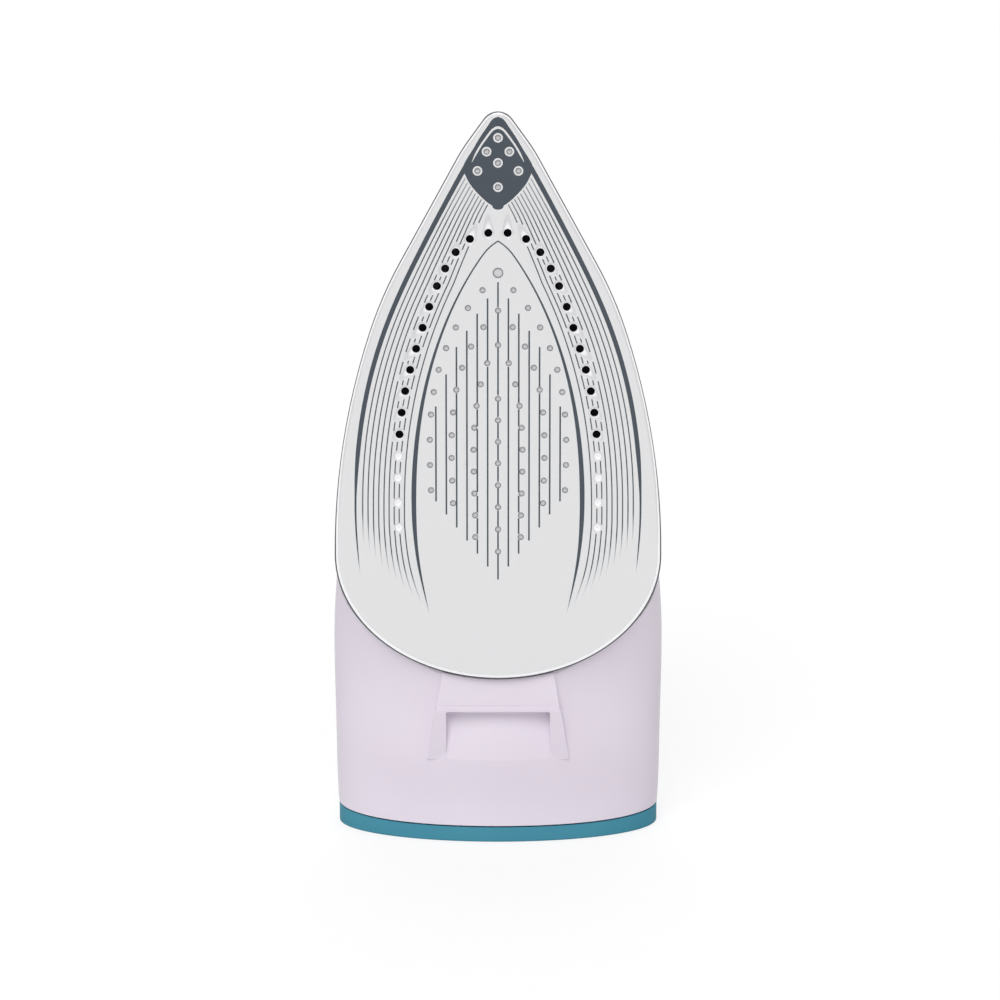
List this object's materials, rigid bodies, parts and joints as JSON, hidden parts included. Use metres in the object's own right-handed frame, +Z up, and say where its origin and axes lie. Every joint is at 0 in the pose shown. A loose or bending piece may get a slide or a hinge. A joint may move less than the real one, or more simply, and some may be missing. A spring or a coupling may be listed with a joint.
{
  "type": "steam iron",
  "caption": "Steam iron standing on its heel: pale fluted sole plate with steam holes, lilac shell, teal heel, loop handle with dial, dosing knob, buttons, filler door and cord inlet.",
  "frame": {"origin": "middle of the heel's standing face", "axes": "+Z up from the heel to the tip, -Y out of the sole's gliding face, +X across to the right when looking at the sole"},
  "size_m": [0.123, 0.1479, 0.277],
  "materials": {
    "glide": "satin pale grey enamel with printed slate lines",
    "cast_alloy": "as cast",
    "steel": "plain",
    "brass": "plain",
    "seal": "matt silicone",
    "ceramic_white": "matt steatite",
    "black_plastic": "moulded",
    "lilac": "semi-gloss pale lilac",
    "tank": "tinted clear",
    "teal": "semi-gloss teal",
    "soft_grip": "matt soft-touch",
    "lens_red": "clear red",
    "wire": "sleeved"
  },
  "bodies": {
    "iron": {"sole_face": "glide", "sole_casting": "cast_alloy", "heating_element": "steel", "chamber_gasket": "seal", "chamber_cover": "steel", "thermostat": "ceramic_white", "thermal_fuse": "steel", "heat_shield": "black_plastic", "shield_screws": "steel", "skirt": "lilac", "tank_base": "tank", "tank_cover": "tank", "valve_bush": "seal", "boost_tube": "seal", "filler_pin": "steel", "rear_housing": "lilac", "heel_cover": "teal", "heel_screws": "steel", "terminal_block": "black_plastic", "wires": "wire", "handle_base": "lilac", "handle_cover": "teal", "grip_insert": "soft_grip", "indicator_lens": "lens_red", "indicator_lamp": "lens_red", "steam_pump": "black_plastic", "spray_pump": "black_plastic", "steam_spring": "steel", "spray_spring": "steel", "spray_nozzle": "teal", "spray_hose": "seal", "steam_hose": "seal", "gland_socket": "black_plastic"},
    "dial": {"temperature_dial": "teal", "thermostat_shaft": "steel"},
    "dosing_knob": {"steam_knob": "teal"},
    "dosing_stem": {"valve_stem": "brass"},
    "steam_key": {"steam_button": "teal", "steam_plunger": "black_plastic"},
    "spray_key": {"spray_button": "teal", "spray_plunger": "black_plastic"},
    "filler": {"filler_door": "lilac"},
    "cord_swivel": {"cord_gland": "black_plastic"}
  },
  "joints": [
    {"name": "dial_turn", "type": "hinge", "parent": "iron", "child": "dial", "pos_m": [0, 0.0184, 0.095], "axis": [0, 1, 0], "range_deg": [0, 270]},
    {"name": "dosing_turn", "type": "hinge", "parent": "iron", "child": "dosing_knob", "pos_m": [0, 0.061, 0.182], "axis": [0, 1, 0], "range_deg": [0, 100]},
    {"name": "dosing_lift", "type": "slide", "parent": "iron", "child": "dosing_stem", "axis": [0, 1, 0], "range_m": [0, 0.003]},
    {"name": "steam_press", "type": "slide", "parent": "iron", "child": "steam_key", "axis": [0, -1, 0], "range_m": [0, 0.004], "stiffness_N_per_m": 400, "springref_m": -0.002, "deforming": ["steam_spring"]},
    {"name": "spray_press", "type": "slide", "parent": "iron", "child": "spray_key", "axis": [0, -1, 0], "range_m": [0, 0.004], "stiffness_N_per_m": 400, "springref_m": -0.002, "deforming": ["spray_spring"]},
    {"name": "filler_turn", "type": "hinge", "parent": "iron", "child": "filler", "pos_m": [0, -0.00524, 0.23767], "axis": [-1, 0, 0], "range_deg": [0, 90]},
    {"name": "cord_turn", "type": "hinge", "parent": "iron", "child": "cord_swivel", "pos_m": [0, 0.06957, 0.02355], "axis": [1, 0, 0], "range_deg": [-25, 25]}
  ],
  "couplings": [
    {"joint": "dosing_turn", "follows": "dosing_lift", "rad_per_m": 581.78}
  ]
}
